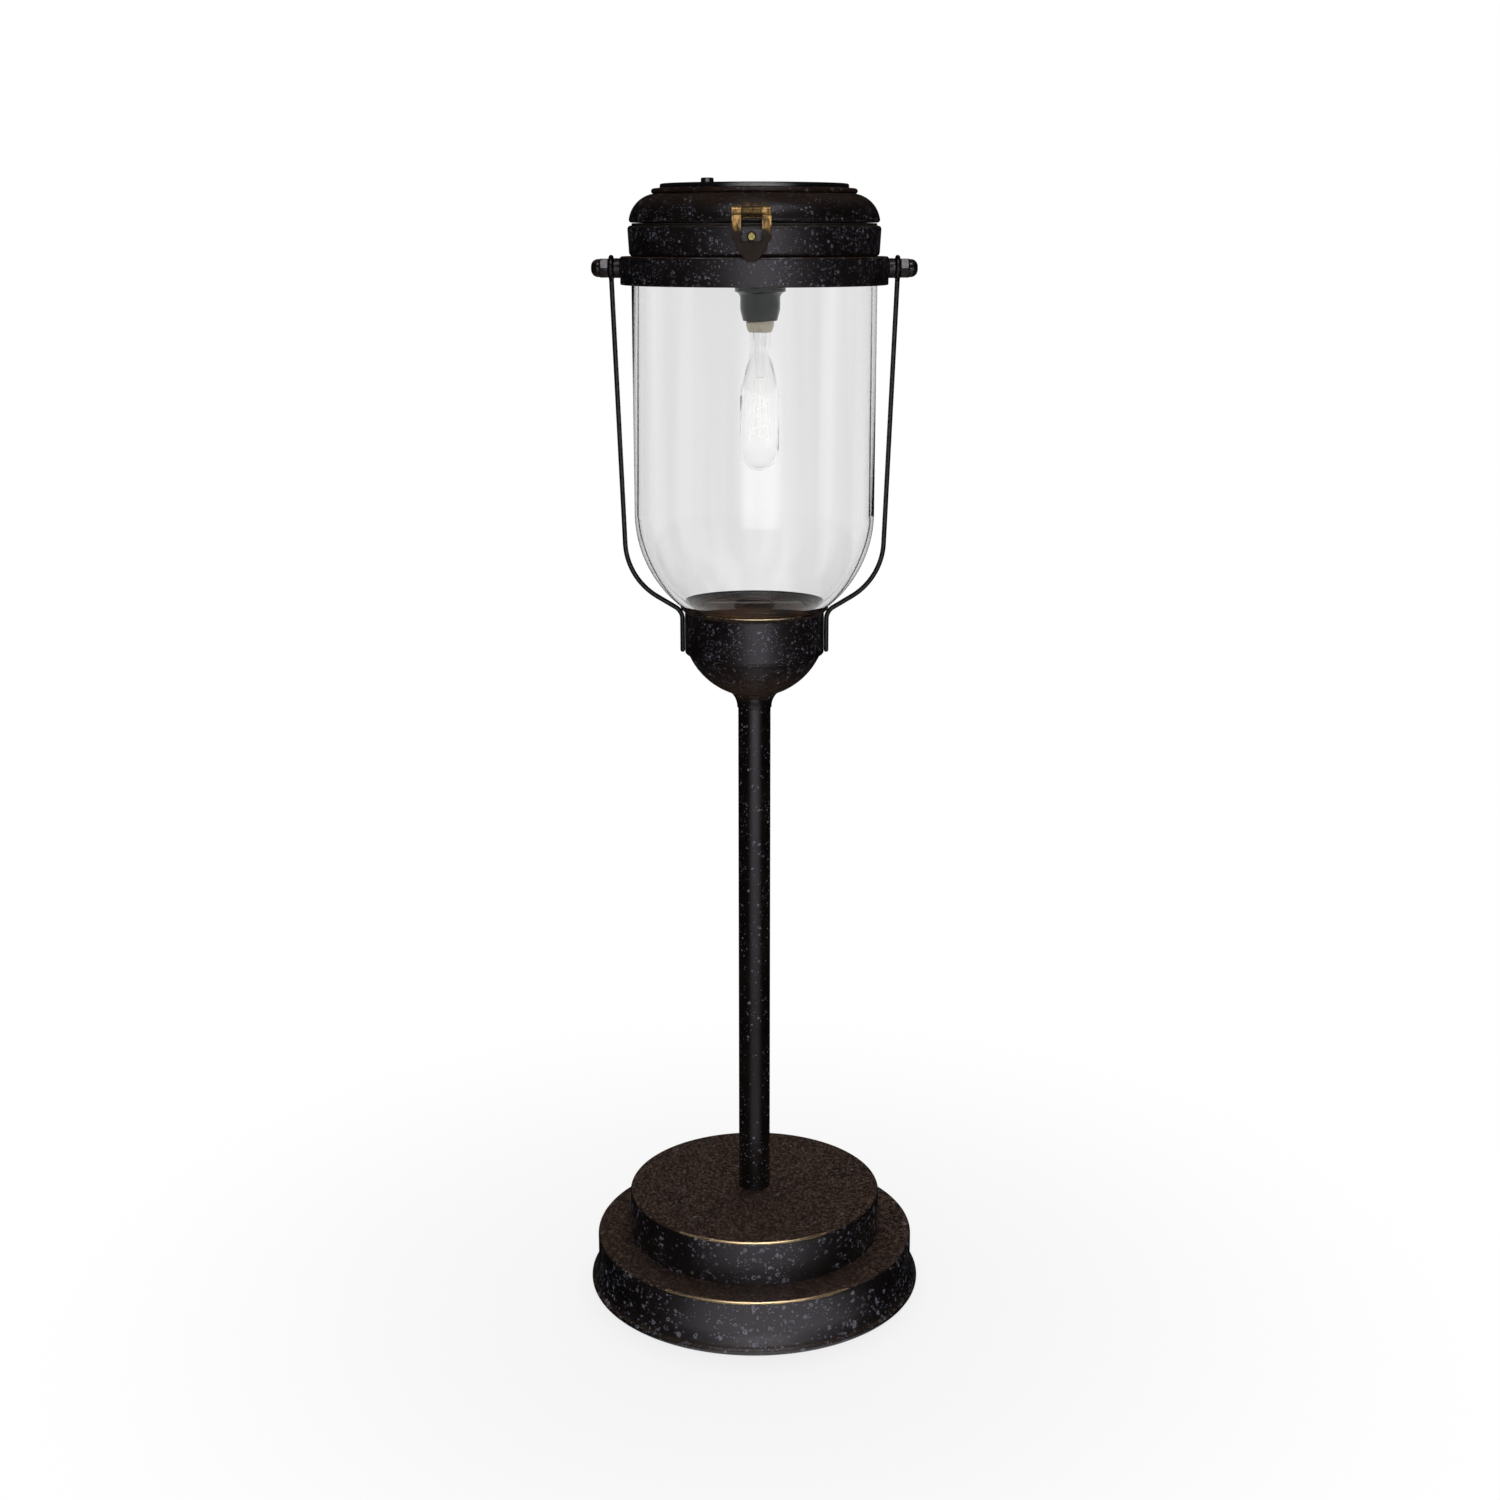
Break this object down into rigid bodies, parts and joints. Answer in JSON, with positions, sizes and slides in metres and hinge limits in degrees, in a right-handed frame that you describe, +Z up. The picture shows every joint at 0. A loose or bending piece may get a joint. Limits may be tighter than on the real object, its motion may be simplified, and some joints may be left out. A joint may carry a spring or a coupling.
{
  "type": "lantern table lamp",
  "caption": "Cordless lantern table lamp: a glass jar held by two side wires between a cup on a pole and a capped band, under a hinged, clasped lid, on a stepped round base.",
  "frame": {"origin": "centre of the underside, on the table", "axes": "+Z up along the pole, -Y towards the clasp at the front, +X to the right seen from the front"},
  "size_m": [0.1776, 0.1776, 0.5794],
  "materials": {
    "base_metal": "dark bronze paint, speckled, worn edges",
    "bronze": "near-black bronze paint, satin, speckled",
    "wire": "near-black bronze paint",
    "seat_metal": "rust-brown paint",
    "casting": "as cast",
    "steel": "zinc plated",
    "tungsten": "drawn wire",
    "brass": "polished",
    "aged_brass": "aged, brushed",
    "felt": "felt",
    "pad": "cork felt",
    "gasket": "matte",
    "jar_glass": "clear",
    "bulb_glass": "clear",
    "window_glass": "clear, low iron",
    "cell": "dark blue silicon",
    "board": "solder mask",
    "black_plastic": "moulded",
    "holder_plastic": "moulded, polished",
    "tray_plastic": "moulded",
    "battery_wrap": "printed sleeve, plain"
  },
  "bodies": {
    "stand": {"lower_tier": "base_metal", "upper_tier": "base_metal", "cast_weight": "casting", "cover_plate": "steel", "felt_pad": "felt", "tier_spacer": "steel", "tie_rod": "steel", "rod_nuts": "steel", "rod_washers": "steel", "pole": "bronze", "bowl_collar": "bronze", "bowl": "bronze", "cup": "bronze", "seat_plate": "seat_metal", "seat_pad": "pad", "wire_left": "wire", "wire_right": "wire", "glass_jar": "jar_glass", "jar_gasket": "gasket", "band": "bronze", "pivot_studs": "bronze", "stud_bushes": "bronze", "acorn_nuts": "bronze", "cap_ring": "bronze", "cap_screws": "steel", "cap_nuts": "steel", "lid_seal": "gasket", "hinge_leaf_ring": "bronze", "hinge_pin": "brass", "hinge_rivets_ring": "brass", "catch_knob": "brass", "lampholder": "holder_plastic", "holder_nut": "steel", "bulb_cap": "brass", "bulb_glass": "bulb_glass", "bulb_stem": "bulb_glass", "filament": "tungsten", "battery_tray": "tray_plastic", "battery_cells": "battery_wrap", "battery_contacts": "steel"},
    "lid": {"lid_shell": "bronze", "hinge_leaf_lid": "bronze", "hinge_rivets_lid": "brass", "panel_plate": "bronze", "panel_frame": "black_plastic", "panel_window": "window_glass", "solar_cell": "cell", "panel_screws": "steel", "circuit_board": "board", "board_posts": "brass", "board_screws": "steel", "switch_body": "black_plastic", "clasp_plate": "aged_brass", "clasp_pin": "brass"},
    "hasp": {"hasp": "aged_brass"},
    "button": {"push_button": "black_plastic"}
  },
  "joints": [
    {"name": "lid_hinge", "type": "hinge", "parent": "stand", "child": "lid", "pos_m": [0, 0.0641, 0.5586], "axis": [-1, 0, 0], "range_deg": [0, 100]},
    {"name": "hasp_hinge", "type": "hinge", "parent": "lid", "child": "hasp", "pos_m": [-0.0013, -0.0631, 0.5642], "axis": [-1, 0, 0], "range_deg": [0, 110]},
    {"name": "button_press", "type": "slide", "parent": "lid", "child": "button", "axis": [0, 0, -1], "range_m": [0, 0.0012], "stiffness_N_per_m": 150, "springref_m": -0.001}
  ]
}
